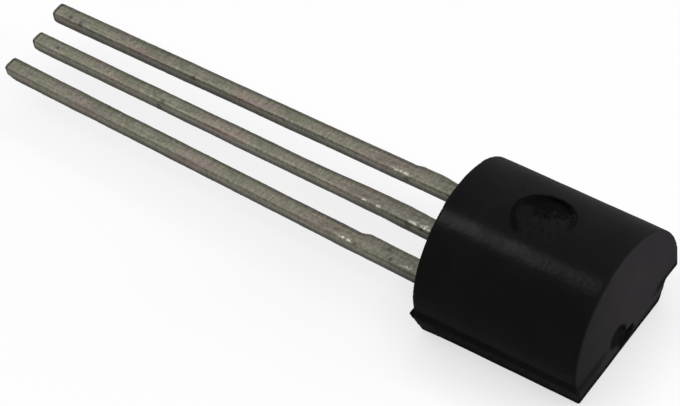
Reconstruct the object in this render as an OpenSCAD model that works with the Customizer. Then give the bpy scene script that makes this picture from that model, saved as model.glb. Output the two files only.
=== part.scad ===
// TO-92 transistor: a small D-shaped moulded pack with three flat leads.
// Millimetres. The part lies on its flat face.
//   X runs across the row of leads, Y runs along them towards their cut ends,
//   Z rises from the flat face to the crown of the round back.
//   The origin is the middle of the flat face.
// With the flat face towards you and the leads down, left is -X and right is +X.

/* [Moulded body] */
// Width of the round back half, across the leads
body_w = 4.53; // [4.4:0.01:4.56]
// Height from the flat face to the crown of the round back
body_h = 3.50; // [3.4:0.01:3.6]
// Radius of the round back
crown_r = 2.29; // [2.28:0.01:2.35]
// Length of the back half at the parting line
back_len = 4.47; // [4.4:0.01:4.6]
// Height of the parting line above the flat face
parting_z = 0.93; // [0.85:0.01:0.95]
// Width of the flat face
flat_w = 3.56; // [3.4:0.01:3.7]
// Length of the flat face
flat_len = 4.27; // [4.2:0.01:4.35]
// Width of the front half at the parting line
front_w = 4.10; // [4.0:0.01:4.3]
// Length of the front half at the parting line
front_len = 4.49; // [4.4:0.01:4.55]
// Mould draft on the ends of the back half, in degrees
end_draft = 1; // [0.5:0.1:2]
// How far the back mould half closed off the front one, across the leads
back_shift_x = 0.06; // [0:0.01:0.1]
// How far the back mould half closed off the front one, along the leads
back_shift_y = -0.09; // [-0.1:0.01:0]
// Radius on the edges of the flat face
flat_edge_r = 0.12; // [0.05:0.01:0.2]
// Radius on the end edges of the round back
back_edge_r = 0.12; // [0.05:0.01:0.15]

/* [Mould marks] */
// Diameter of the round ejector-pin mark on the crown
ejector_d = 1.46; // [1:0.02:1.6]
// Depth of the ejector-pin mark below the round back
ejector_depth = 0.12; // [0.05:0.01:0.2]
// Distance of the ejector-pin mark from the middle of the round back
ejector_off = 0.09; // [0:0.01:0.2]
// Width of the broken gate scar on the blind end
gate_w = 0.70; // [0.4:0.01:0.8]
// Depth of the gate scar
gate_depth = 0.10; // [0.04:0.01:0.15]
// Distance of the gate scar's middle from the middle of the flat face
gate_x = 0.12; // [-0.2:0.01:0.2]
// Height of the gate scar's middle above the flat face
gate_z = 0.56; // [0.5:0.01:0.8]

/* [Leads] */
// Distance from one lead to the next where they leave the body
pitch = 1.27; // [1.25:0.01:1.29]
// Width of a lead
lead_w = 0.44; // [0.38:0.01:0.5]
// Thickness of a lead
lead_t = 0.38; // [0.34:0.01:0.42]
// Height of the middle of the leads above the flat face
lead_z = 1.16; // [1.15:0.01:1.25]
// Distance from the middle of the flat face to the cut end of the centre lead
lead_reach = 15.60; // [14:0.1:17]
// How much further the right lead was left when the leads were cut off
right_overcut = 0.12; // [0:0.01:0.3]
// Radius on the long edges of a lead
lead_edge_r = 0.07; // [0.04:0.01:0.1]
// Lean of the left lead towards the others, in degrees
left_lean = 1.55; // [0:0.05:3]
// Lean of the centre lead, in degrees
centre_lean = 0.85; // [0:0.05:2]
// Lean of the right lead, in degrees
right_lean = 0; // [0:0.05:2]
// How far the left lead's shoulder stands out of its side
left_stub = 0.060; // [0.02:0.005:0.15]
// How far the centre lead's tie-bar stub stands out of its side
centre_stub = 0.045; // [0.02:0.005:0.15]
// How far the right lead's tie-bar stub stands out of its side
right_stub = 0.025; // [0.02:0.005:0.15]

/* [Inside the body] */
// Width of the flag that carries the die
flag_w = 1.70; // [1.4:0.05:1.9]
// Length of the flag that carries the die
flag_len = 1.60; // [1.4:0.05:1.8]
// Width of the heads of the two bonding posts
post_w = 0.85; // [0.7:0.01:0.9]
// Side of the square silicon die
die_side = 0.42; // [0.3:0.01:0.6]
// Thickness of the silicon die
die_t = 0.20; // [0.15:0.01:0.25]
// Thickness of the die attach
attach_t = 0.03; // [0.02:0.01:0.05]
// Thickness of a bond wire
wire_d = 0.04; // [0.03:0.005:0.05]
// Height of a bond wire's loop above the die
wire_rise = 0.28; // [0.2:0.01:0.4]

/* [Hidden] */

$fn = 64;
// what a cutting shape runs past the face that it cuts
over = 1;

epoxy_black = [0.10, 0.10, 0.11];
tinned_grey = [0.60, 0.58, 0.53];
attach_grey = [0.45, 0.45, 0.47];
silicon_blue = [0.25, 0.27, 0.35];
gold = [0.90, 0.72, 0.30];

// the round back's axis, and the two ends of the back half at the parting line
crown_z = body_h - crown_r;
blind_y = back_shift_y - back_len / 2;
exit_y = back_shift_y + back_len / 2;

// the lead frame follows the back mould half
frame_x = back_shift_x;
lead_top = lead_z + lead_t / 2;
tip_chamfer = 0.10;
// where the tie bar was cut away, measured from the body's lead end
tie_start = 1.40;
tie_end = 2.05;
// how far past the tie bar the stubs run out into the legs
stub_ramp = 0.35;
centre_ramp = 1.20;
// how far inside the body a leg and the left lead's shoulder start
leg_inset = 0.10;
shoulder_inset = 0.20;

// the flag lies in the middle of the body, and the posts stop short of it
flag_y = -0.45;
post_gap = 0.20;
// bare length of a post between its head and the body's lead end
post_neck = 0.45;
post_y = flag_y + flag_len / 2 + post_gap;
attach_rim = 0.03;
die_y = -0.45;
die_top = lead_top + attach_t + die_t;
// bond pads on the die and landing places on the posts, from the die's middle
pad_x = 0.12;
pad_y = 0.10;
landing_in = 0.22;
ball_d = 0.09;
ball_h = 0.03;
wire_sides = 8;
wire_steps = 14;
// step along a wire, as a share of its length, over which its direction is taken
wire_aim = 0.01;
// power that makes a wire's loop steep at its ends and flat on top
loop_power = 4;

// ---- outlines ----

// Rectangle about the origin with round corners
module round_rectangle(w, h, r) {
    square([w - 2 * r, h], center = true);
    square([w, h - 2 * r], center = true);
    for (sx = [-1, 1], sy = [-1, 1])
        translate([sx * (w / 2 - r), sy * (h / 2 - r)]) circle(r);
}

// Upright drafted outline: low_w wide at its foot, high_w at the height h,
// with the two corners of its foot rounded
module drafted_outline(low_w, high_w, h, r) {
    slope = atan2(h, (high_w - low_w) / 2);
    back_off = r * tan(slope / 2);
    foot = [low_w / 2 - back_off, 0];
    side = [low_w / 2 + back_off * cos(slope), back_off * sin(slope)];
    polygon([foot, side, [high_w / 2, h], [-high_w / 2, h], [-side.x, side.y], [-foot.x, 0]]);
    for (sx = [-1, 1])
        translate([sx * foot.x, r]) circle(r);
}

// Stands an outline drawn in X and Y upright, and runs it along Y
module along_y(length)
    rotate([90, 0, 0]) linear_extrude(height = length, center = true) children();

// Stands an outline drawn in Y and Z upright, and runs it along X
module along_x(length)
    rotate([90, 0, 90]) linear_extrude(height = length, center = true) children();

// ---- moulded body ----

// Front half of the moulding: four drafted sides down to the flat face
module front_half() {
    intersection() {
        along_y(front_len + over) drafted_outline(flat_w, front_w, parting_z, flat_edge_r);
        along_x(front_w + over) drafted_outline(flat_len, front_len, parting_z, flat_edge_r);
        linear_extrude(height = parting_z) round_rectangle(front_w, front_len, flat_edge_r);
    }
}

// Full round of the back half, turned about its own axis, with radiused ends
module round_back(r, edge_r) {
    translate([0, 0, crown_z]) rotate([90, 0, 0])
        rotate_extrude($fn = 128) intersection() {
            round_rectangle(2 * r, back_len, edge_r);
            translate([0, -back_len]) square([r + over, 2 * back_len]);
        }
}

// Back half of the moulding: round back on two upright sides, ends drafted
module back_half() {
    draft_in = (body_h - parting_z) * tan(end_draft);
    translate([back_shift_x, back_shift_y, 0]) intersection() {
        union() {
            round_back(crown_r, back_edge_r);
            translate([0, 0, parting_z]) linear_extrude(height = crown_z - parting_z)
                square([body_w, back_len], center = true);
        }
        translate([0, 0, parting_z]) linear_extrude(height = body_h)
            round_rectangle(body_w, back_len, back_edge_r);
        along_x(body_w + over) polygon([
            [-back_len / 2, parting_z],
            [back_len / 2, parting_z],
            [back_len / 2 - draft_in, body_h],
            [-back_len / 2 + draft_in, body_h]
        ]);
    }
}

// Ejector-pin mark: a round pocket whose floor follows the round back
module ejector_mark() {
    translate([back_shift_x + ejector_off, back_shift_y, 0]) difference() {
        translate([0, 0, crown_z]) cylinder(d = ejector_d, h = crown_r + over);
        translate([-ejector_off, 0, crown_z]) rotate([90, 0, 0])
            cylinder(r = crown_r - ejector_depth, h = body_w, center = true, $fn = 128);
    }
}

// Gate scar: the broken pocket where the runner met the blind end of the front half
module gate_scar() {
    end_y = -flat_len / 2 - (front_len - flat_len) / 2 * gate_z / parting_z;
    translate([gate_x, end_y + gate_depth, gate_z]) rotate([90, 0, 0])
        intersection() {
            cylinder(d = gate_w, h = over);
            translate([-gate_w, -gate_w, 0]) cube([2 * gate_w, gate_w + parting_z - gate_z, over]);
        }
}

module moulded_body() {
    color(epoxy_black) difference() {
        union() {
            front_half();
            back_half();
        }
        ejector_mark();
        gate_scar();
        left_lead();
        centre_lead();
        right_lead();
        die_attach();
        silicon_die();
        left_bond_wire();
        right_bond_wire();
    }
}

// ---- lead frame ----

// Long leg of a lead from just inside the body, with its end cut and chamfered
module lead_leg(lean, reach) {
    length = (reach - exit_y) / cos(lean) + leg_inset;
    half_d = norm([lead_w, lead_t]) / 2;
    translate([0, exit_y, lead_z]) rotate([-90, 0, -lean]) translate([0, 0, -leg_inset])
        intersection() {
            linear_extrude(height = length) round_rectangle(lead_w, lead_t, lead_edge_r);
            rotate_extrude() polygon([
                [0, 0],
                [half_d + over, 0],
                [half_d + over, length - tip_chamfer],
                [half_d, length - tip_chamfer],
                [half_d - tip_chamfer, length],
                [0, length]
            ]);
        }
}

// Flat stub on the side of a lead, between two distances from the body's lead end,
// that runs out into the leg over the length of its ramp
module side_stub(lean, start, end, out, ramp) {
    root = -lead_w / 4;
    edge = lead_w / 2;
    translate([0, exit_y, lead_z]) rotate([0, 0, -lean]) linear_extrude(height = lead_t, center = true)
        polygon([
            [root, start - stub_ramp / 2],
            [edge, start - stub_ramp / 2],
            [edge + out, start],
            [edge + out, end],
            [edge, end + ramp],
            [root, end + ramp]
        ]);
}

// Bonding post inside the body, on the end of an outer lead
module bonding_post() {
    translate([0, 0, lead_z]) linear_extrude(height = lead_t, center = true) {
        translate([-lead_w / 2, post_y]) square([lead_w, exit_y - post_y]);
        translate([-post_w / 2, post_y]) square([post_w, exit_y - post_y - post_neck]);
    }
}

module left_lead() {
    color(tinned_grey) translate([frame_x - pitch, 0, 0]) {
        lead_leg(left_lean, lead_reach);
        side_stub(left_lean, -shoulder_inset, tie_end, left_stub, stub_ramp);
        bonding_post();
    }
}

module centre_lead() {
    color(tinned_grey) translate([frame_x, 0, 0]) {
        lead_leg(centre_lean, lead_reach);
        side_stub(centre_lean, tie_start, tie_end + stub_ramp, centre_stub, centre_ramp);
        translate([0, 0, lead_z]) linear_extrude(height = lead_t, center = true) {
            translate([-lead_w / 2, flag_y]) square([lead_w, exit_y - flag_y]);
            translate([0, flag_y]) square([flag_w, flag_len], center = true);
        }
    }
}

module right_lead() {
    color(tinned_grey) translate([frame_x + pitch, 0, 0]) {
        lead_leg(right_lean, lead_reach + right_overcut);
        side_stub(right_lean, tie_start, tie_end, right_stub, stub_ramp);
        bonding_post();
    }
}

// ---- die and bonds ----

module die_attach() {
    side = die_side + 2 * attach_rim;
    color(attach_grey) translate([frame_x - side / 2, die_y - side / 2, lead_top])
        cube([side, side, attach_t]);
}

module silicon_die() {
    color(silicon_blue) translate([frame_x - die_side / 2, die_y - die_side / 2, lead_top + attach_t])
        cube([die_side, die_side, die_t]);
}

// Middle line of a bond wire that runs from [0, 0, 0] to reach, rising in a loop
function loop_point(reach, t) = [
    reach.x * t,
    reach.y * t,
    reach.z * t + wire_rise * (1 - pow(2 * t - 1, loop_power))
];

// Ring of points round the wire, square to its run in the plan view
function loop_ring(reach, t) =
    let (
        ahead = loop_point(reach, min(t + wire_aim, 1)) - loop_point(reach, max(t - wire_aim, 0)),
        along = ahead / norm(ahead),
        across = [reach.y, -reach.x, 0] / norm([reach.x, reach.y]),
        upward = cross(across, along)
    )
    [for (i = [0 : wire_sides - 1])
        loop_point(reach, t) + wire_d / 2 * (cos(360 * i / wire_sides) * across
            + sin(360 * i / wire_sides) * upward)];

// Bond wire swept along its loop
module wire_loop(reach) {
    rings = [for (k = [0 : wire_steps]) loop_ring(reach, k / wire_steps)];
    points = [for (ring = rings) each ring];
    last = wire_steps * wire_sides;
    skin = [for (k = [0 : wire_steps - 1], i = [0 : wire_sides - 1])
        let (a = k * wire_sides, j = (i + 1) % wire_sides)
        [a + i, a + j, a + wire_sides + j, a + wire_sides + i]];
    caps = [
        [for (i = [wire_sides - 1 : -1 : 0]) i],
        [for (i = [0 : wire_sides - 1]) last + i]
    ];
    polyhedron(points, concat(skin, caps), convexity = 6);
}

// Ball on the die, wire loop, and the flattened stitch on the post
module bond_wire(side) {
    start = [frame_x + side * pad_x, die_y + pad_y, die_top + ball_h];
    landing = [frame_x + side * (pitch - landing_in), post_y + landing_in, lead_top];
    color(gold) {
        translate([start.x, start.y, die_top]) cylinder(d = ball_d, h = ball_h + wire_d / 4, $fn = 32);
        translate(start) wire_loop(landing + [0, 0, wire_d / 2] - start);
        translate(landing) cylinder(d = ball_d, h = wire_d / 2, $fn = 32);
    }
}

module left_bond_wire() {
    bond_wire(-1);
}

module right_bond_wire() {
    bond_wire(1);
}

moulded_body();
left_lead();
centre_lead();
right_lead();
die_attach();
silicon_die();
left_bond_wire();
right_bond_wire();
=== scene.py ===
import math
from collections import namedtuple

import bpy
from mathutils import Matrix, Quaternion, Vector


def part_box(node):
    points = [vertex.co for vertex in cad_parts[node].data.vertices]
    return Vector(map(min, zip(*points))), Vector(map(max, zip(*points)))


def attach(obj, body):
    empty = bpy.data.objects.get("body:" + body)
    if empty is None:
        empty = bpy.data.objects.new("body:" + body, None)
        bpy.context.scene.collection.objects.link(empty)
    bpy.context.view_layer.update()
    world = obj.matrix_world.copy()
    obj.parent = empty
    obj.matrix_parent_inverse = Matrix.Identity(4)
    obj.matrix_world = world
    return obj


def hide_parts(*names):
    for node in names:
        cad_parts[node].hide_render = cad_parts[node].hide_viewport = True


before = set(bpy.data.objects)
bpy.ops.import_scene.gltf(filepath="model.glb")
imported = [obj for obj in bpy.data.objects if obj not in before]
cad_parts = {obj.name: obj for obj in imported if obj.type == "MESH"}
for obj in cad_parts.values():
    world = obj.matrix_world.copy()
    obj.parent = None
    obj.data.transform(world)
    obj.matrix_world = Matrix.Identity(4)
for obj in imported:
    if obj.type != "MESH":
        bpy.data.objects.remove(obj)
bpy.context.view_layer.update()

# Pieces are modelled in millimetres and settled to metres when they are finished.
MM = 0.001


def in_mm(corners):
    """The two corners of a box, in millimetres."""
    return [Vector(corner) / MM for corner in corners]


# ---- sizes of the part, in millimetres ----

BODY_LOW, BODY_HIGH = in_mm(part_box("moulded_body"))

# round back half
BACK_W = BODY_HIGH.x - BODY_LOW.x
BACK_X = (BODY_HIGH.x + BODY_LOW.x) / 2
BACK_LEN = 4.47
BLIND_Y = BODY_LOW.y
EXIT_Y = BLIND_Y + BACK_LEN
BACK_Y = (BLIND_Y + EXIT_Y) / 2
CROWN_R = 2.29
CROWN_Z = BODY_HIGH.z - CROWN_R
# how far its two ends stand out, and how much the exit end slants across the body
BLIND_SWELL = 0.025
EXIT_SWELL = 0.01
EXIT_SLANT = 0.020
BACK_EDGE = 0.13
# how round the rim of the blind end is, as a share of BACK_EDGE, from the left side to the right
RIM_ROUNDNESS = ((-9.0, -0.6, 1.0), (-0.6, 0.0, 0.88), (0.0, 0.5, 0.74),
                 (0.5, 1.0, 0.60), (1.0, 1.5, 0.46), (1.5, 9.0, 0.32))

# drafted front half
PARTING_Z = 0.93
FRONT_W = 4.10
FRONT_LEN = 2 * BODY_HIGH.y
FLAT_W = 3.58
FLAT_LEN = 4.315
FRONT_EDGE = 0.03

# marks of the mould
EJECTOR_R = 0.73
EJECTOR_X = BACK_X + 0.09
GATE_X = 0.12
GATE_Y = -2.20
GATE_Z = 0.56
GATE_R = 0.36
GATE_DEPTH = 0.13
SPALL_X = -0.35
SPALL_Z = 1.05
SPALL_R = 0.40
# how deep the spalled edge is broken into the back half and into the front half
SPALL_IN_BACK = 0.07
SPALL_IN_FRONT = 0.09
# gap in the flash, where the gate broke off
GAP_X = GATE_X - 0.2
GAP_R = 1.6 * GATE_R
GAP_DEPTH = 0.25

# leads
PITCH = 1.27
LEAD_W = 0.44
LEAD_T = 0.38
LEAD_Z = (in_mm(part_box("right_lead"))[0].z + in_mm(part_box("right_lead"))[1].z) / 2
LEAD_EDGE = 0.07
TIP_CHAMFER = 0.06
TIP_SCORE = 0.05
POST_W = 0.85
POST_NECK = 0.45
FLAG_LEN = 1.6

# width of the cells from which the skin of the body and of a lead is made
BODY_CELL = 0.034
LEAD_CELL = 0.028

# a point counts as at a place when it lies closer to it than NEAR, and as on the outside of the
# front half when it lies further from the middle than OUTER
NEAR = 0.01
OUTER = 1.5

# tie-bar stub on the side of a lead: where it starts and ends along the lead, over what length it
# runs in before that and out after it, and how wide it is
Stub = namedtuple("Stub", "run_in start end run_out width")
# leg of a lead: its root, its lean, its stub, how much narrower it is past the stub, the rolled
# edge that the shears left under its tip, and how far it reaches past the tip of the node
Leg = namedtuple("Leg", "root_x lean stub neck roll past")

LEGS = {
    "left": Leg(BACK_X - PITCH, math.radians(1.55),
                Stub(run_in=0.20, start=0.12, end=2.08, run_out=0.22, width=0.086),
                neck=0.0, roll=0.25, past=0.015),
    "centre": Leg(BACK_X, math.radians(0.82),
                  Stub(run_in=1.25, start=1.74, end=2.35, run_out=2.70, width=0.070),
                  neck=0.024, roll=0.08, past=0.015),
    "right": Leg(BACK_X + PITCH, 0.0,
                 Stub(run_in=0.35, start=1.58, end=2.19, run_out=0.18, width=0.050),
                 neck=0.0, roll=0.06, past=0.070),
}


# ---- ways of working ----

def deselect():
    """Leaves nothing selected, in object mode."""
    if bpy.context.object and bpy.context.object.mode != "OBJECT":
        bpy.ops.object.mode_set(mode="OBJECT")
    bpy.ops.object.select_all(action="DESELECT")


def take(piece):
    """Makes the piece the only one selected."""
    deselect()
    piece.select_set(True)
    bpy.context.view_layer.objects.active = piece


def set_place(piece):
    """Puts the place, turn and scale of the piece into its mesh."""
    take(piece)
    bpy.ops.object.transform_apply(location=True, rotation=True, scale=True)


def named(name):
    """Names the piece that was just added, and puts its place into its mesh."""
    piece = bpy.context.object
    piece.name = name
    piece.data.name = name
    set_place(piece)
    return piece


def unpick(piece, kind):
    """Leaves nothing picked in the piece's mesh, where faces, edges or points are to be picked."""
    take(piece)
    bpy.ops.object.mode_set(mode="EDIT")
    bpy.ops.mesh.select_mode(type=kind)
    bpy.ops.mesh.select_all(action="DESELECT")
    bpy.ops.object.mode_set(mode="OBJECT")


def pick_faces(piece, test):
    """Edit mode, with only the faces selected whose middle and normal pass the test."""
    unpick(piece, "FACE")
    for face in piece.data.polygons:
        face.select = test(face.center, face.normal)
    bpy.ops.object.mode_set(mode="EDIT")


def pick_edges(piece, test):
    """Edit mode, with only the edges selected whose two ends pass the test."""
    unpick(piece, "EDGE")
    points = piece.data.vertices
    for edge in piece.data.edges:
        edge.select = test(*(points[end].co for end in edge.vertices))
    bpy.ops.object.mode_set(mode="EDIT")


def pick_points(piece, test):
    """Edit mode, with only the points selected whose place passes the test."""
    unpick(piece, "VERT")
    for point in piece.data.vertices:
        point.select = test(point.co)
    bpy.ops.object.mode_set(mode="EDIT")


def done_editing():
    """Back to object mode."""
    bpy.ops.object.mode_set(mode="OBJECT")


def pull_picked(shift):
    """Moves what is picked, and leaves edit mode."""
    bpy.ops.transform.translate(value=shift)
    done_editing()


def pull_points(piece, test, shift):
    """Moves the points whose place passes the test."""
    pick_points(piece, test)
    pull_picked(shift)


def cut(piece, place, normal, **closing):
    """Cuts the whole mesh of the piece along a plane."""
    take(piece)
    bpy.ops.object.mode_set(mode="EDIT")
    bpy.ops.mesh.select_all(action="SELECT")
    bpy.ops.mesh.bisect(plane_co=place, plane_no=normal, **closing)
    done_editing()


def slice_off(piece, place, normal):
    """Removes what lies on the normal's side of a plane, and closes the cut."""
    cut(piece, place, normal, use_fill=True, clear_outer=True)


def score(piece, place, normal):
    """Adds a loop of edges where a plane crosses the piece."""
    cut(piece, place, normal)


def apply_modifier(piece, kind, **settings):
    """Adds a modifier with its settings, and applies it."""
    take(piece)
    bpy.ops.object.modifier_add(type=kind)
    modifier = piece.modifiers[-1]
    for name, value in settings.items():
        setattr(modifier, name, value)
    bpy.ops.object.modifier_apply(modifier=modifier.name)


def combine(piece, other, operation):
    """Joins the other piece to this one, or cuts it away, and removes it."""
    apply_modifier(piece, "BOOLEAN", operation=operation, object=other, solver="EXACT")
    bpy.data.objects.remove(other)


def roughen(piece, name, size, strength, depth=2, middle=0.5):
    """Moves the surface in and out by a soft noise, with patches about as large as size."""
    texture = bpy.data.textures.new(name, "CLOUDS")
    texture.noise_scale = size
    texture.noise_depth = depth
    apply_modifier(piece, "DISPLACE", texture=texture, strength=strength, mid_level=middle,
                   texture_coords="LOCAL")


def skin(piece, cell):
    """One closed skin over all that the piece is made of, with its edges a little softened."""
    apply_modifier(piece, "REMESH", mode="VOXEL", voxel_size=cell, adaptivity=0)
    apply_modifier(piece, "SMOOTH", factor=0.5, iterations=2)


def settle(piece, name, node):
    """Takes a finished piece to metres, gives it its body and hides the node it replaces."""
    piece.name = name
    piece.data.name = name
    piece.scale = (MM, MM, MM)
    set_place(piece)
    bpy.ops.object.shade_smooth()
    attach(piece, "root")
    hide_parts(node)
    return piece


# ---- moulded body ----

def back_half():
    """Round back: half a cylinder on two short upright sides, with upright ends, the exit end
    slanting a little across the body, and a rounded rim at the blind end.
    """
    spare = 0.05
    deselect()
    bpy.ops.mesh.primitive_cylinder_add(
        vertices=160, radius=CROWN_R, depth=BACK_LEN + 2 * spare,
        location=(BACK_X, BACK_Y, CROWN_Z), rotation=(math.radians(90), 0, 0))
    piece = named("back_half")
    slice_off(piece, (0, 0, CROWN_Z), (0, 0, -1))
    pick_faces(piece, lambda middle, normal: normal.z < -0.99)
    bpy.ops.mesh.extrude_region_move(TRANSFORM_OT_translate={"value": (0, 0, PARTING_Z - CROWN_Z)})
    done_editing()
    for side in (-1, 1):
        slice_off(piece, (BACK_X + side * BACK_W / 2, 0, 0), (side, 0, 0))
    slice_off(piece, (0, BLIND_Y - BLIND_SWELL, PARTING_Z), (0, -1, 0))
    slice_off(piece, (0, EXIT_Y + EXIT_SWELL, PARTING_Z), (-EXIT_SLANT, 1, 0))
    for left, right, roundness in RIM_ROUNDNESS:
        pick_edges(piece, lambda a, b: max(a.z, b.z) > PARTING_Z + NEAR and max(a.y, b.y) < BACK_Y
                   and left <= (a.x + b.x) / 2 < right)
        bpy.ops.transform.edge_bevelweight(value=roundness)
        done_editing()
    apply_modifier(piece, "BEVEL", limit_method="WEIGHT", width=BACK_EDGE, segments=5)
    return piece


def draw_corners(piece):
    """Draws the front half's left corner out at the exit end and its right one in at the blind
    end, and its parting edge to the back half's blind end."""
    corner_x, corner_y = -1.1, 1.3
    set_back = 0.01
    score(piece, (corner_x, 0, 0), (1, 0, 0))
    score(piece, (0, corner_y, 0), (0, 1, 0))
    for height, shift in ((PARTING_Z, (-0.115, 0.055, 0)), (0, (-0.03, 0.065, 0))):
        pull_points(piece, lambda at: at.x < -OUTER and at.y > OUTER and abs(at.z - height) < NEAR,
                    shift)
    pull_points(piece, lambda at: at.x < -OUTER and at.z < NEAR, (-0.012, 0, 0))
    pull_points(piece, lambda at: at.y < -OUTER and at.z > PARTING_Z - NEAR,
                (0, BLIND_Y + set_back + FRONT_LEN / 2, 0))
    pull_points(piece, lambda at: at.x > OUTER and at.y < -OUTER and at.z > PARTING_Z - NEAR,
                (-0.02, 0.035, 0))


def front_half():
    """Front half: four drafted sides down to the flat face, and a spigot up into the back half."""
    spigot = 0.3
    deselect()
    bpy.ops.mesh.primitive_cube_add(
        size=1, location=(0, 0, PARTING_Z / 2), scale=(FRONT_W, FRONT_LEN, PARTING_Z))
    piece = named("front_half")
    pick_faces(piece, lambda middle, normal: normal.z < -0.9)
    bpy.ops.transform.resize(value=(FLAT_W / FRONT_W, FLAT_LEN / FRONT_LEN, 1))
    done_editing()
    draw_corners(piece)
    pick_edges(piece, lambda a, b: max(a.z, b.z) < NEAR)
    bpy.ops.mesh.bevel(offset=FRONT_EDGE, segments=4, affect="EDGES")
    done_editing()
    pick_faces(piece, lambda middle, normal: normal.z > 0.9)
    bpy.ops.mesh.inset(thickness=spigot)
    bpy.ops.mesh.extrude_region_move(TRANSFORM_OT_translate={"value": (0, 0, spigot)})
    done_editing()
    return piece


def flash():
    """Thin lip of compound that crept into the parting line, with a ragged edge."""
    lip = 0.02
    thick = 0.05
    sunk = 0.01
    deselect()
    bpy.ops.mesh.primitive_cube_add(
        size=1, location=(BACK_X, BACK_Y, PARTING_Z + thick / 2 - sunk),
        scale=(BACK_W + 2 * lip, BACK_LEN + 2 * lip, thick))
    piece = named("flash")
    bpy.ops.object.mode_set(mode="EDIT")
    bpy.ops.mesh.select_all(action="SELECT")
    bpy.ops.mesh.subdivide(number_cuts=40)
    done_editing()
    roughen(piece, "ragged", size=0.22, strength=0.07, depth=3, middle=0.62)
    return piece


def ejector_pocket():
    """Cutter for the ejector-pin mark: a short post with a hollow foot, which leaves the pocket
    shallow towards the left and full depth at the right."""
    tilt = 0.12
    left_depth = 0.040
    deselect()
    bpy.ops.mesh.primitive_cylinder_add(
        vertices=96, radius=EJECTOR_R, depth=CROWN_R,
        location=(EJECTOR_X, BACK_Y, CROWN_Z + CROWN_R))
    post = named("ejector_post")
    deselect()
    bpy.ops.mesh.primitive_cylinder_add(
        vertices=160, radius=CROWN_R - left_depth, depth=BACK_LEN,
        location=(BACK_X - tilt, BACK_Y, CROWN_Z), rotation=(math.radians(90), 0, 0))
    combine(post, named("ejector_floor"), "DIFFERENCE")
    return post


def torn_lump(name, place, radius, depth):
    """Cutter for broken compound: a ball with a torn surface, flattened to reach depth deep into
    an end face."""
    deselect()
    bpy.ops.mesh.primitive_ico_sphere_add(subdivisions=5, radius=radius)
    lump = named(name)
    roughen(lump, name, size=0.11, strength=0.8 * radius, depth=3)
    lump.scale = (1.0, depth / radius, 1.0)
    lump.location = place
    set_place(lump)
    return lump


def moulded_body():
    """The moulding in one piece: both halves, the mould's marks and the compound's fine grain."""
    body = back_half()
    combine(body, ejector_pocket(), "DIFFERENCE")
    spall = (SPALL_X, BLIND_Y, SPALL_Z)
    combine(body, torn_lump("spalled_edge", spall, SPALL_R, SPALL_IN_BACK), "DIFFERENCE")
    front = front_half()
    gate = (GATE_X, GATE_Y, GATE_Z)
    combine(front, torn_lump("gate_scar", gate, GATE_R, GATE_DEPTH), "DIFFERENCE")
    combine(front, torn_lump("spalled_edge", spall, SPALL_R, SPALL_IN_FRONT), "DIFFERENCE")
    lip = flash()
    gap = (GAP_X, GATE_Y, PARTING_Z)
    combine(lip, torn_lump("flash_break", gap, GAP_R, GAP_DEPTH), "DIFFERENCE")
    take(body)
    front.select_set(True)
    lip.select_set(True)
    bpy.ops.object.join()
    skin(body, BODY_CELL)
    roughen(body, "sink", size=0.9, strength=0.012, depth=1, middle=0.0)
    roughen(body, "grain", size=0.07, strength=0.003)
    return settle(body, "moulded_shell", "moulded_body")


# ---- leads ----

def leg_length(side):
    """Length of a leg from the end of the body to its tip."""
    leg = LEGS[side]
    tip_y = in_mm(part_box(side + "_lead"))[1].y
    return (tip_y - EXIT_Y) / math.cos(leg.lean) + leg.past


def cut_tip(leg, tip, roll):
    """Chamfers the tip of a leg, and rolls up the lower edge on its left that the shears caught."""
    pick_faces(leg, lambda middle, normal: normal.y > 0.9)
    bpy.ops.mesh.extrude_region_move(TRANSFORM_OT_translate={"value": (0, TIP_CHAMFER, 0)})
    bpy.ops.transform.resize(
        value=(1 - 2 * TIP_CHAMFER / LEAD_W, 1, 1 - 2 * TIP_CHAMFER / LEAD_T))
    done_editing()
    for place, pull in ((tip - TIP_CHAMFER, (0.1, 0, 0.25)), (tip, (0.2, -0.4, 0.35))):
        pull_points(leg, lambda at: abs(at.y - place) < NEAR and at.x < 0 and at.z < 0,
                    [share * roll for share in pull])


def straight_leg(side):
    """A leg along Y from the end of the body: the stub of the cut tie bar on its right side, its
    narrower outer part, its tip and its round long edges."""
    _, _, stub, neck, roll, _ = LEGS[side]
    inset = 0.1
    tip = leg_length(side)
    tip_start = tip - TIP_CHAMFER - TIP_SCORE - roll
    deselect()
    bpy.ops.mesh.primitive_cube_add(
        size=1, location=(0, (tip - inset - TIP_CHAMFER) / 2, 0),
        scale=(LEAD_W, tip + inset - TIP_CHAMFER, LEAD_T))
    leg = named(side + "_leg")
    for place in (stub.start - stub.run_in, stub.start, stub.end, stub.end + stub.run_out,
                  tip_start):
        score(leg, (0, place, 0), (0, 1, 0))
    pick_faces(leg, lambda middle, normal: normal.x > 0.9 and stub.start < middle.y < stub.end)
    pull_picked((stub.width, 0, 0))
    pull_points(leg, lambda at: at.x < 0 and at.y > stub.start, (neck, 0, 0))
    pull_points(leg, lambda at: at.x > 0 and at.y > tip_start - NEAR, (-0.8 * neck, 0, 0))
    cut_tip(leg, tip, roll)
    pick_edges(leg, lambda a, b: abs(a.y - b.y) > 0.05 and abs(a.x) > 0.1 and abs(a.z) > 0.07)
    bpy.ops.mesh.bevel(offset=LEAD_EDGE, segments=3, affect="EDGES")
    done_editing()
    return leg


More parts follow.
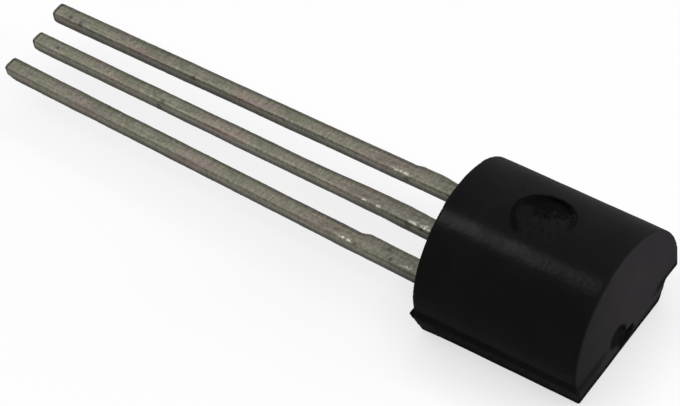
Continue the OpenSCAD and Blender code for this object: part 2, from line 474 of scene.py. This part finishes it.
def lead(side, inner):
    """One lead of the frame: its leg, turned to its lean, and the plates that it ends in inside
    the body, with the slight bow and the uneven plating of a real one."""
    name = side + "_leg"
    leg = straight_leg(side)
    leg.rotation_euler = (0, 0, -LEGS[side].lean)
    leg.location = (LEGS[side].root_x, EXIT_Y, LEAD_Z)
    set_place(leg)
    for low, high in inner:
        deselect()
        middle = [(a + b) / 2 for a, b in zip(low, high)]
        size = [b - a for a, b in zip(low, high)]
        bpy.ops.mesh.primitive_cube_add(size=1, location=middle, scale=size)
        combine(leg, named("inner_plate"), "UNION")
    skin(leg, LEAD_CELL)
    roughen(leg, "bow_" + name, size=1.6, strength=0.020, depth=1)
    roughen(leg, "plating_" + name, size=0.09, strength=0.010)
    return settle(leg, name, side + "_lead")


def plate(x0, x1, y0, y1):
    """Corners of a plate in the plane of the lead frame."""
    return ((x0, y0, LEAD_Z - LEAD_T / 2), (x1, y1, LEAD_Z + LEAD_T / 2))


def post_plates(root_x, node):
    """Neck and head of a bonding post."""
    low = in_mm(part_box(node))[0]
    return [plate(root_x - LEAD_W / 2, root_x + LEAD_W / 2, low.y, EXIT_Y),
            plate(root_x - POST_W / 2, root_x + POST_W / 2, low.y, EXIT_Y - POST_NECK)]


def flag_plates(root_x, node):
    """Stem and flag that carry the die."""
    low, high = in_mm(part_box(node))
    return [plate(root_x - LEAD_W / 2, root_x + LEAD_W / 2, low.y + 0.1, EXIT_Y),
            plate(low.x, high.x, low.y, low.y + FLAG_LEN)]


def leads():
    """The three leads, each with its own lean, its own stub, and its own stains, painted shade and
    painted glints.
    """
    for side, leg in LEGS.items():
        plates = flag_plates if side == "centre" else post_plates
        tin_plate(side).put_on(lead(side, plates(leg.root_x, side + "_lead")))


# ---- finishes ----

class Finish:
    """A material being built up: a Principled shader on object coordinates in millimetres."""

    def __init__(self, name):
        self.material = bpy.data.materials.new(name)
        self.material.use_nodes = True
        self.tree = self.material.node_tree
        self.shader = self.tree.nodes["Principled BSDF"]
        coordinates = self.tree.nodes.new("ShaderNodeTexCoord")
        self.in_mm = self.mapped(coordinates.outputs["Object"], scale=(1 / MM, 1 / MM, 1 / MM))

    def mapped(self, source, place=(0, 0, 0), turn=(0, 0, 0), scale=(1, 1, 1)):
        """The coordinates moved, turned and stretched."""
        node = self.tree.nodes.new("ShaderNodeMapping")
        node.inputs["Location"].default_value = place
        node.inputs["Rotation"].default_value = turn
        node.inputs["Scale"].default_value = scale
        self.tree.links.new(source, node.inputs["Vector"])
        return node.outputs["Vector"]

    def noise(self, scale, detail=2.0, rough=0.5, where=None, distort=0.0):
        """Soft noise, with scale patches to a millimetre."""
        node = self.tree.nodes.new("ShaderNodeTexNoise")
        node.inputs["Scale"].default_value = scale
        node.inputs["Detail"].default_value = detail
        node.inputs["Roughness"].default_value = rough
        node.inputs["Distortion"].default_value = distort
        self.tree.links.new(where or self.in_mm, node.inputs["Vector"])
        return node.outputs["Fac"]

    def cells(self, scale):
        """Distance to the nearest of scattered points, with scale cells to a millimetre."""
        node = self.tree.nodes.new("ShaderNodeTexVoronoi")
        node.inputs["Scale"].default_value = scale
        self.tree.links.new(self.in_mm, node.inputs["Vector"])
        return node.outputs["Distance"]

    def ramp(self, source, stops):
        """Colours along a value, from a list of positions and colours."""
        node = self.tree.nodes.new("ShaderNodeValToRGB")
        ramp = node.color_ramp
        while len(ramp.elements) < len(stops):
            ramp.elements.new(1.0)
        for element, (position, colour) in zip(ramp.elements, stops):
            element.position = position
            element.color = (*colour, 1.0)
        self.tree.links.new(source, node.inputs["Fac"])
        return node.outputs["Color"]

    def greys(self, source, low, high, dark, light):
        """A grey that goes from dark to light as a value goes from low to high."""
        return self.ramp(source, [(low, (dark, dark, dark)), (high, (light, light, light))])

    def blend(self, amount, first, second, way="MIX"):
        """Mixes two colours by an amount."""
        node = self.tree.nodes.new("ShaderNodeMix")
        node.data_type = "RGBA"
        node.blend_type = way
        self.feed(amount, node.inputs["Factor"])
        self.feed(first, node.inputs[6])
        self.feed(second, node.inputs[7])
        return node.outputs[2]

    def maths(self, way, first, second=0.0):
        """One sum on two values."""
        node = self.tree.nodes.new("ShaderNodeMath")
        node.operation = way
        self.feed(first, node.inputs[0])
        self.feed(second, node.inputs[1])
        return node.outputs[0]

    def product(self, *values):
        """Several values multiplied."""
        total = values[0]
        for value in values[1:]:
            total = self.maths("MULTIPLY", total, value)
        return total

    def highest(self, *values):
        """The highest of several values."""
        total = values[0]
        for value in values[1:]:
            total = self.maths("MAXIMUM", total, value)
        return total

    def off(self, value, place):
        """How far a value lies above a place, less than 0 below it."""
        return self.maths("SUBTRACT", value, place)

    def free_of(self, value):
        """1 where a value is 0, and 0 where it is 1."""
        return self.maths("SUBTRACT", 1.0, value)

    def unsettled(self, value, noise, amount):
        """A value shifted up and down by a noise, by an amount from end to end."""
        return self.maths("ADD", value, self.product(self.off(noise, 0.5), amount))

    def span(self, source, low, high):
        """A value from 0 to 1 spread from low to high."""
        node = self.tree.nodes.new("ShaderNodeMapRange")
        self.tree.links.new(source, node.inputs["Value"])
        node.inputs["To Min"].default_value = low
        node.inputs["To Max"].default_value = high
        return node.outputs["Result"]

    def step(self, value, nought, one):
        """A soft step of a value: 0 at nought, 1 at one."""
        node = self.tree.nodes.new("ShaderNodeMapRange")
        node.interpolation_type = "SMOOTHSTEP"
        self.tree.links.new(value, node.inputs["Value"])
        node.inputs["From Min"].default_value = nought
        node.inputs["From Max"].default_value = one
        return node.outputs["Result"]

    def near_place(self, where, place, inner, outer, noise, amount):
        """1 near a place and 0 away from it, with an edge unsettled by a noise."""
        node = self.tree.nodes.new("ShaderNodeVectorMath")
        node.operation = "DISTANCE"
        self.tree.links.new(where, node.inputs[0])
        node.inputs[1].default_value = place
        return self.step(self.unsettled(node.outputs["Value"], noise, amount), outer, inner)

    def near_line(self, axes, middle, inner, outer, noise, amount):
        """1 near a line that runs square to two axes and 0 away from it, with the same edge."""
        squares = []
        for axis, place in zip(axes, middle):
            apart = self.off(axis, place)
            squares.append(self.maths("MULTIPLY", apart, apart))
        distance = self.maths("SQRT", self.maths("ADD", *squares))
        return self.step(self.unsettled(distance, noise, amount), outer, inner)

    def axes(self, where=None):
        """The three coordinates, in millimetres."""
        split = self.tree.nodes.new("ShaderNodeSeparateXYZ")
        self.tree.links.new(where or self.in_mm, split.inputs[0])
        return tuple(split.outputs)

    def facing(self, axis):
        """How squarely the surface faces along an axis, either way: from 0 to 1."""
        geometry = self.tree.nodes.new("ShaderNodeNewGeometry")
        split = self.tree.nodes.new("ShaderNodeSeparateXYZ")
        self.tree.links.new(geometry.outputs["Normal"], split.inputs[0])
        return self.maths("ABSOLUTE", split.outputs["XYZ".index(axis)])

    def bump(self, height, depth_mm, strength=1.0, under=None):
        """Relief from a height between 0 and 1, depth_mm deep."""
        node = self.tree.nodes.new("ShaderNodeBump")
        self.feed(strength, node.inputs["Strength"])
        node.inputs["Distance"].default_value = depth_mm * MM
        self.tree.links.new(height, node.inputs["Height"])
        if under:
            self.tree.links.new(under, node.inputs["Normal"])
        return node.outputs["Normal"]

    def feed(self, value, socket):
        """Links an output to a socket, or sets a plain value or colour on it."""
        if isinstance(value, bpy.types.NodeSocket):
            self.tree.links.new(value, socket)
        elif isinstance(value, tuple):
            socket.default_value = (*value, 1.0)
        else:
            socket.default_value = value

    def set(self, socket, value):
        """Feeds a value to one of the shader's own sockets."""
        self.feed(value, self.shader.inputs[socket])

    def put_on(self, piece):
        """Makes this the piece's only material."""
        piece.data.materials.clear()
        piece.data.materials.append(self.material)


# ---- black epoxy ----

# darker and lighter patches of the compound, on the back and on the matt blind end
COMPOUND = [(0.30, (0.0062, 0.0062, 0.0070)), (0.70, (0.0080, 0.0076, 0.0078))]
MATT_END = [(0.30, (0.0118, 0.0106, 0.0118)), (0.70, (0.0140, 0.0128, 0.0136))]
# painted shade towards the left side of the blind end
PAINTED_END_SHADE = (0.0040, 0.0040, 0.0040)
# painted shade over the lower left of the blind end
PAINTED_CORNER_SHADE = (0.0030, 0.0030, 0.0030)
FOOT_SHADE = (0.0004, 0.0004, 0.0004)
# painted light in patches low on the left side
PAINTED_LIGHT_SIDE = (0.0175, 0.0170, 0.0165)
TORN_COMPOUND = (0.0020, 0.0023, 0.0021)
# near-black painted shade, along the parting line on the blind end and in the ejector mark
PAINTED_SHADE = (0.0012, 0.0012, 0.0013)


def parting_line_shade(finish, axes, mottle, blind_end):
    """Painted shade along the parting line on the blind end, towards both of its sides."""
    x, _, z = axes
    from_line = finish.maths("ABSOLUTE", finish.off(z, PARTING_Z - 0.06))
    band = finish.step(finish.unsettled(from_line, mottle, 0.3), 0.34, 0.12)
    left = finish.product(finish.step(x, -0.4, -1.3), 0.55)
    right = finish.product(finish.step(x, 1.10, 1.6), 0.92)
    return finish.product(band, finish.highest(left, right), blind_end)


def paler_low_side(finish, axes, mottle, upright, endward):
    """Patches of painted light along the foot of the left side, but none on the exit end."""
    x, y, z = axes
    on_exit = finish.product(finish.step(endward, 0.30, 0.60), finish.step(y, 0.0, 1.0))
    return finish.product(finish.step(z, 0.72, 0.52), finish.step(x, -1.2, -1.7),
                          finish.step(mottle, 0.30, 0.60), upright, finish.free_of(on_exit))


def shaded_foot(finish, axes, upright, endward, blind_end):
    """The shade at the foot of the blind end and of the left side."""
    x, _, z = axes
    low = finish.step(finish.maths("SUBTRACT", z, finish.product(blind_end, 0.13)), 0.34, 0.04)
    left_side = finish.product(finish.step(x, -1.50, -1.70), finish.step(endward, 0.60, 0.30))
    return finish.product(low, upright, finish.highest(blind_end, left_side))


def gate_tear(finish, axes, mottle):
    """Torn compound: a slanting row of patches across the gate scar and the spalled edge."""
    x, y, z = axes
    patches = [finish.near_line((x, z), (GATE_X + across, GATE_Z + up), 0.26, 0.38, mottle, 0.3)
               for across, up in ((-0.42, 0.40), (-0.14, 0.12), (0.14, -0.16))]
    return finish.product(finish.highest(*patches),
                          finish.step(y, BLIND_Y + 0.60, BLIND_Y + 0.50))


def ejector_mark(finish, axes, mottle):
    """The ejector-pin mark, and the shade painted in it: over its right half, where its far wall
    shades the pocket, and along its rim, with less of it towards the leads, and darker blotches of
    the mark's own in the rest."""
    x, y, z = axes
    middle = (EJECTOR_X, BACK_Y)
    mark = finish.near_line((x, y), middle, EJECTOR_R + 0.01, EJECTOR_R + 0.09, mottle, 0.10)
    mark = finish.product(mark, finish.step(z, CROWN_Z + 1.6, CROWN_Z + 1.7))
    to_right = finish.maths("ADD", finish.product(finish.off(x, EJECTOR_X), 0.65),
                            finish.product(finish.off(y, BACK_Y), 0.38))
    right_half = finish.step(finish.unsettled(to_right, mottle, 1.0), -0.08, 0.16)
    # less painted shade towards the leads
    less_shaded = finish.near_line((x, y), (EJECTOR_X - 0.07, BACK_Y + 0.50), 0.16, 0.36, mottle, 0.3)
    right_half = finish.product(right_half, finish.free_of(finish.product(less_shaded, 0.75)))
    inside = finish.near_line((x, y), middle, EJECTOR_R - 0.14, EJECTOR_R - 0.03, mottle, 0.2)
    rim = finish.product(finish.free_of(inside), finish.step(to_right, -0.42, -0.18), 0.9)
    blotches = finish.product(finish.step(mottle, 0.50, 0.62), 0.35)
    return mark, finish.product(mark, finish.highest(right_half, rim, blotches))


def black_epoxy():
    """Black moulding compound: satin round back, matt ends, rough marks, painted shade along the
    parting line, over the left of the blind end, at the foot and in the ejector mark, and patches
    of painted light low on the left side.
    """
    finish = Finish("black_epoxy")
    patches = finish.noise(1.4, detail=3.0, rough=0.55)
    grain = finish.noise(26.0, detail=3.0, rough=0.6)
    mottle = finish.noise(7.0, detail=3.0, rough=0.6)
    pits = finish.greys(finish.cells(9.0), 0.06, 0.14, 0.0, 1.0)
    axes = x, y, z = finish.axes()
    upright = finish.step(finish.facing("Z"), 0.80, 0.55)
    endward = finish.facing("Y")
    blind_end = finish.product(finish.step(endward, 0.35, 0.85), finish.step(y, 0.0, -1.0))
    # painted shade over the lower left of the blind end, beside the parting step
    left_corner_shade = finish.product(finish.step(x, -0.8, -1.5), finish.step(z, 1.30, 1.0), blind_end)
    torn = gate_tear(finish, axes, mottle)
    # mark_shade is painted shade in the ejector mark; the coat is left off where it lies
    mark, mark_shade = ejector_mark(finish, axes, mottle)

    # painted shade over the left of the blind end, where its rim turns from the light
    end_colour = finish.blend(finish.product(finish.step(x, 0.4, -2.4), 0.55),
                              finish.ramp(patches, MATT_END), PAINTED_END_SHADE)
    colour = finish.blend(blind_end, finish.ramp(patches, COMPOUND), end_colour)
    # painted shade at the parting line, the left corner, the foot and in the ejector mark, painted
    # light low on the left side, and the torn compound's own colour
    for zone, depth, shade in (
            (parting_line_shade(finish, axes, mottle, blind_end), 1.0, PAINTED_SHADE),
            (paler_low_side(finish, axes, mottle, upright, endward), 1.0, PAINTED_LIGHT_SIDE),
            (left_corner_shade, 0.75, PAINTED_CORNER_SHADE),
            (shaded_foot(finish, axes, upright, endward, blind_end), 0.92, FOOT_SHADE),
            (torn, 1.0, TORN_COMPOUND),
            (mark_shade, 0.85, PAINTED_SHADE)):
        colour = finish.blend(finish.product(zone, depth), colour, shade)
    finish.set("Base Color", colour)

    finish.set("Roughness", finish.span(finish.blend(0.5, patches, grain), 0.75, 0.95))
    finish.set("Specular IOR Level", 0.015)
    satin = finish.product(finish.step(endward, 0.80, 0.40),
                           finish.maths("GREATER_THAN", z, CROWN_Z + 0.05),
                           finish.free_of(finish.product(mark_shade, 0.9)))
    finish.set("Coat Weight", finish.product(satin, finish.span(patches, 0.040, 0.070)))
    finish.set("Coat Roughness", 0.21)
    finish.set("Coat Normal", finish.bump(grain, 0.0002))
    relief = finish.bump(grain, 0.003)
    relief = finish.bump(pits, 0.003, under=relief)
    rough = finish.highest(torn, finish.product(mark, 0.6))
    finish.set("Normal", finish.bump(mottle, 0.03, strength=rough, under=relief))
    return finish


# ---- tin plate ----

TIN_CLOUDS = [(0.34, (0.203, 0.165, 0.143)), (0.48, (0.192, 0.182, 0.144)),
              (0.64, (0.165, 0.168, 0.124))]
# near-black painted shade on the leads
PAINTED_LEAD_SHADE = (0.02, 0.02, 0.018)
BROWN_STAIN = (0.035, 0.025, 0.022)
PAINTED_GLINT = (0.60, 0.57, 0.50)

# stains, and painted glints on spots rubbed smoother, of each lead: across, along, height and
# radius
STAINS = {
    "left": ((-0.17, 2.25, 0.17, 0.05), (-0.11, 1.22, 0.19, 0.06), (0.13, 1.42, 0.19, 0.08)),
    "centre": ((-0.13, 9.13, 0.19, 0.07), (-0.22, 9.24, 0.0, 0.12), (-0.08, 12.64, 0.19, 0.05),
               (-0.20, 1.55, 0.06, 0.11), (-0.20, 1.14, 0.12, 0.06)),
    "right": ((-0.22, 8.96, 0.14, 0.08), (-0.22, 2.42, 0.04, 0.10), (-0.17, 12.68, 0.17, 0.09),
              (-0.12, 13.05, 0.19, 0.07)),
}
GLINT_SPOTS = {
    "left": ((-0.165, 2.66, 0.17, 0.07), (-0.155, 2.44, 0.17, 0.06),
             (-0.12, 0.86, 0.19, 0.05), (-0.10, 0.70, 0.19, 0.05)),
    "centre": ((-0.18, 2.85, 0.17, 0.05), (-0.16, 2.43, 0.18, 0.05), (-0.14, 1.40, 0.19, 0.07),
               (-0.11, 1.26, 0.19, 0.06), (-0.12, 1.06, 0.19, 0.09)),
    "right": ((-0.18, 2.72, 0.17, 0.06), (-0.17, 2.48, 0.17, 0.08)),
}

# tone and painted shade of a lead: how dark and how light its sheared sides are, how far the
# painted shade at its root reaches, how dark the painted shade on its left edge is, how dark that
# is near the root and how far that reaches, and how much darker the sides of its outer half are
ToneAndShade = namedtuple("ToneAndShade", "dark light root_reach edge_shade root_edge edge_reach outer_shade")
TONE_AND_SHADE = {
    "left": ToneAndShade(dark=0.90, light=1.20, root_reach=1.9,
                 edge_shade=0.20, root_edge=0.40, edge_reach=3.6, outer_shade=0.06),
    "centre": ToneAndShade(dark=1.00, light=1.34, root_reach=4.0,
                   edge_shade=0.08, root_edge=0.40, edge_reach=2.4, outer_shade=0.0),
    "right": ToneAndShade(dark=0.94, light=1.28, root_reach=2.0,
                  edge_shade=0.12, root_edge=0.22, edge_reach=1.8, outer_shade=0.28),
}


def lead_shade_zones(finish, side, axes, sheared):
    """Zones of a lead painted darker, each with how dark it is: painted shade along its far and
    left edges, under it, at the rim of its tip, at its root and under its root, and darker sides
    along its outer half.
    """
    across, along, height = axes
    stub = LEGS[side].stub
    tone_and_shade = TONE_AND_SHADE[side]
    tip = leg_length(side)
    side_edge = finish.product(finish.step(along, stub.start - stub.run_in, stub.start),
                               finish.step(along, stub.end + stub.run_out, stub.end), stub.width)
    far_edge = finish.product(
        finish.step(finish.maths("SUBTRACT", across, side_edge), 0.055, 0.125),
        finish.span(finish.step(along, 1.0, 2.8), 0.28, 0.48))
    near_edge = finish.product(
        finish.step(across, -0.13, -0.17), finish.step(height, 0.08, 0.14),
        finish.span(finish.step(along, tone_and_shade.edge_reach, 0.8), tone_and_shade.edge_shade, tone_and_shade.root_edge))
    under_edge = finish.step(height, 0.07, -0.08)
    end_rim = finish.step(along, tip - 0.17, tip - 0.09)
    root = finish.product(finish.step(along, tone_and_shade.root_reach, 0.50), finish.highest(sheared, 0.25))
    corner = finish.product(finish.step(along, 0.75, 0.20), finish.step(height, 0.10, -0.05))
    outer = finish.product(finish.step(along, 3.5, 7.0), sheared)
    return ((far_edge, 1.0), (near_edge, 1.0), (under_edge, 0.73), (end_rim, 0.85), (root, 0.52),
            (corner, 0.85), (outer, tone_and_shade.outer_shade))


def painted_glints(finish, side, aligned, rubs, speckle):
    """Spots, drawn out along a lead, where the plate is rubbed smoother and a glint is painted on
    in bright colour.
    """
    stretch = 0.4
    drawn_out = finish.mapped(aligned, scale=(1, stretch, 1))
    spots = [finish.near_place(drawn_out, (across, stretch * along, height),
                               0.0, 1.25 * radius, rubs, 1.5 * radius)
             for across, along, height, radius in GLINT_SPOTS[side]]
    return finish.product(finish.highest(*spots), finish.step(speckle, 0.40, 0.58))


def tin_plate(side):
    """Dull tin plate on a punched lead: cloudy patches, fine speckle, drawn lines, slanting rub
    marks, sheared sides with a tone of their own, stains, painted shade across it, along its edges,
    under it and at its root, and painted glints."""
    leg = LEGS[side]
    finish = Finish(side + "_tin")
    root = Matrix.Rotation(leg.lean, 3, "Z") @ Vector((leg.root_x, EXIT_Y, LEAD_Z))
    aligned = finish.mapped(finish.in_mm, place=-root, turn=(0, 0, leg.lean))
    axes = finish.axes(aligned)

    drawn = finish.noise(1.0, detail=3.0, rough=0.6,
                         where=finish.mapped(aligned, scale=(24.0, 0.9, 24.0)))
    slanting = finish.mapped(aligned, turn=(0, 0, math.radians(100)))
    rubs = finish.noise(1.0, detail=3.0, rough=0.65,
                        where=finish.mapped(slanting, scale=(13.0, 2.2, 13.0)))
    punched = finish.noise(1.0, rough=0.6, where=finish.mapped(aligned, scale=(3.0, 26.0, 3.0)))
    clouds = finish.noise(1.3, detail=4.0, rough=0.6, distort=0.8,
                          where=finish.mapped(aligned, scale=(1.0, 0.6, 1.0)))
    speckle = finish.noise(11.0, detail=4.0, rough=0.7, where=aligned)
    frost = finish.noise(30.0)
    sheared = finish.step(finish.facing("X"), 0.50, 0.85)
    glints = painted_glints(finish, side, aligned, rubs, speckle)

    plain = (1.0, 1.0, 1.0)
    side_tone = finish.greys(punched, 0.3, 0.7, TONE_AND_SHADE[side].dark, TONE_AND_SHADE[side].light)
    colour = finish.ramp(clouds, TIN_CLOUDS)
    for tone in (finish.greys(speckle, 0.32, 0.68, 0.66, 1.12),
                 finish.greys(drawn, 0.32, 0.68, 0.78, 1.12),
                 finish.greys(rubs, 0.32, 0.68, 0.82, 1.12),
                 # lighter towards the left edge and darker towards the right: painted light and
                 # shade across the lead
                 finish.greys(finish.step(axes[0], 0.15, -0.20), 0.0, 1.0, 0.97, 1.10),
                 finish.blend(sheared, plain, side_tone)):
        colour = finish.blend(1.0, colour, tone, "MULTIPLY")
    # painted shade on the lead, zone by zone
    for zone, depth in lead_shade_zones(finish, side, axes, sheared):
        colour = finish.blend(finish.product(zone, depth), colour, PAINTED_LEAD_SHADE)
    for *place, radius in STAINS[side]:
        stain = finish.near_place(aligned, place, 0.4 * radius, 1.3 * radius, speckle, 0.8 * radius)
        colour = finish.blend(finish.product(stain, 0.65), colour, BROWN_STAIN)
    # painted glints in bright colour on the rubbed spots
    finish.set("Base Color", finish.blend(finish.product(glints, 0.6), colour, PAINTED_GLINT))

    finish.set("Metallic", 1.0)
    dull = finish.span(finish.blend(0.5, rubs, frost), 0.40, 0.60)
    finish.set("Roughness", finish.maths("SUBTRACT", dull, finish.product(glints, 0.2)))
    relief = finish.bump(drawn, 0.004)
    relief = finish.bump(rubs, 0.002, under=relief)
    relief = finish.bump(speckle, 0.006, under=relief)
    finish.set("Normal", finish.bump(punched, 0.008, strength=sheared, under=relief))
    return finish


# ---- pieces sealed inside ----

def plain_metal(name, colour, rough):
    """Metal with a fine frosted grain."""
    finish = Finish(name)
    frost = finish.noise(60.0)
    shade = tuple(0.85 * part for part in colour)
    finish.set("Base Color", finish.ramp(frost, [(0.3, shade), (0.7, colour)]))
    finish.set("Metallic", 1.0)
    finish.set("Roughness", finish.span(frost, rough - 0.06, rough + 0.06))
    finish.set("Normal", finish.bump(frost, 0.001))
    return finish


def die_silicon():
    """Polished silicon with the faint pattern of its cells."""
    finish = Finish("die_silicon")
    cells = finish.cells(16.0)
    blues = [(0.2, (0.05, 0.06, 0.10)), (0.6, (0.10, 0.11, 0.17))]
    finish.set("Base Color", finish.ramp(cells, blues))
    finish.set("Roughness", finish.span(cells, 0.12, 0.22))
    return finish


# ---- studio ----

WHITE = (1, 1, 1, 1)


def camera():
    """Looks down on the round back and the leads from the left of the blind end."""
    azimuth, elevation, roll = math.radians(-49.104), math.radians(48.599), math.radians(-7.827)
    aim = Vector((-0.329, 5.541, 1.16)) * MM
    distance = 68.22 * MM
    back = Vector((math.sin(azimuth) * math.cos(elevation),
                   -math.cos(azimuth) * math.cos(elevation),
                   math.sin(elevation)))
    level = Vector((math.cos(azimuth), math.sin(azimuth), 0))
    above = back.cross(level)
    right = math.cos(roll) * level + math.sin(roll) * above
    up = back.cross(right)
    data = bpy.data.cameras.new("camera")
    data.sensor_width = 36
    data.lens = 148.56
    data.clip_start = 0.001
    data.clip_end = 20
    view = bpy.data.objects.new("camera", data)
    bpy.context.collection.objects.link(view)
    turn = Matrix((right, up, back)).transposed().to_4x4()
    view.matrix_world = Matrix.Translation(aim + back * distance) @ turn
    bpy.context.scene.camera = view


def softbox(name, direction, distance, width, height, radiance, turn=0.0):
    """A lamp that faces the part, turned on its own axis: radiance is how bright it looks, where 1
    is white."""
    data = bpy.data.lights.new(name, "AREA")
    data.shape = "RECTANGLE"
    data.size = width
    data.size_y = height
    data.energy = radiance * math.pi * width * height
    lamp = bpy.data.objects.new(name, data)
    bpy.context.collection.objects.link(lamp)
    towards = Vector(direction).normalized()
    lamp.location = towards * distance
    facing = towards.to_track_quat("Z", "Y") @ Quaternion((0, 0, 1), turn)
    lamp.rotation_euler = facing.to_euler()


def mixed(tree, first, second):
    """Mixes two shaders: the socket that sets how much, and the result."""
    mix = tree.nodes.new("ShaderNodeMixShader")
    tree.links.new(first, mix.inputs[1])
    tree.links.new(second, mix.inputs[2])
    return mix.inputs[0], mix.outputs[0]


def seen_white(tree, plain, white):
    """Shows the white shader to the camera and in reflections, and the plain one to other rays."""
    path = tree.nodes.new("ShaderNodeLightPath")
    seen = path.outputs["Is Camera Ray"]
    for ray in ("Is Glossy Ray", "Is Transmission Ray"):
        either = tree.nodes.new("ShaderNodeMath")
        either.operation = "MAXIMUM"
        tree.links.new(seen, either.inputs[0])
        tree.links.new(path.outputs[ray], either.inputs[1])
        seen = either.outputs[0]
    amount, result = mixed(tree, plain, white)
    tree.links.new(seen, amount)
    return result


def surround():
    """A world that looks white and lights the part softly."""
    world = bpy.data.worlds.new("surround")
    bpy.context.scene.world = world
    world.use_nodes = True
    tree = world.node_tree
    plain = tree.nodes["Background"]
    white = tree.nodes.new("ShaderNodeBackground")
    for background, strength in ((plain, 0.15), (white, 1.0)):
        background.inputs["Color"].default_value = WHITE
        background.inputs["Strength"].default_value = strength
    surface = seen_white(tree, plain.outputs[0], white.outputs[0])
    tree.links.new(surface, tree.nodes["World Output"].inputs["Surface"])


def contact_shade(tree):
    """A white that darkens softly where something stands close over it."""
    contact = tree.nodes.new("ShaderNodeAmbientOcclusion")
    contact.samples = 16
    contact.inputs["Distance"].default_value = 1.6 * MM
    soft = tree.nodes.new("ShaderNodeMapRange")
    tree.links.new(contact.outputs["AO"], soft.inputs["Value"])
    soft.inputs["To Min"].default_value = 0.65
    return soft.outputs["Result"]


def paper_floor():
    """Pale paper under the part, just clear of its flat face, that keeps its shadow."""
    clear = 0.015
    deselect()
    bpy.ops.mesh.primitive_plane_add(size=2, location=(0, 0, -clear * MM))
    floor = named("floor")
    material = bpy.data.materials.new("floor_paper")
    material.use_nodes = True
    tree = material.node_tree
    paper = tree.nodes["Principled BSDF"]
    paper.inputs["Base Color"].default_value = (0.9, 0.9, 0.9, 1)
    paper.inputs["Roughness"].default_value = 0.9
    paper.inputs["Specular IOR Level"].default_value = 0.0
    glow = tree.nodes.new("ShaderNodeEmission")
    glow.inputs["Strength"].default_value = 1.0
    tree.links.new(contact_shade(tree), glow.inputs["Color"])
    amount, glowing = mixed(tree, paper.outputs[0], glow.outputs[0])
    amount.default_value = 0.92
    surface = seen_white(tree, paper.outputs[0], glowing)
    tree.links.new(surface, tree.nodes["Material Output"].inputs["Surface"])
    floor.data.materials.append(material)


def studio():
    """Pale floor under the part, a white surround and three soft lamps."""
    bpy.context.scene.view_settings.view_transform = "Standard"
    surround()
    paper_floor()
    softbox("strip_lamp", (-0.207, 0.433, 0.878), 0.8, 0.20, 0.09, 22.0, math.radians(-34))
    softbox("main_lamp", (0.36, -0.85, 0.33), 0.9, 0.45, 0.45, 22.0)
    softbox("back_lamp", (0.25, 0.96, 0.12), 0.9, 0.45, 0.45, 10.0)


# ---- the part ----

camera()
studio()
moulded = moulded_body()
black_epoxy().put_on(moulded)
leads()
plain_metal("die_attach_silver", (0.60, 0.60, 0.62), 0.45).put_on(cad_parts["die_attach"])
die_silicon().put_on(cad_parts["silicon_die"])
gold = plain_metal("bond_gold", (0.85, 0.62, 0.24), 0.22)
for wire in ("left_bond_wire", "right_bond_wire"):
    gold.put_on(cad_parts[wire])
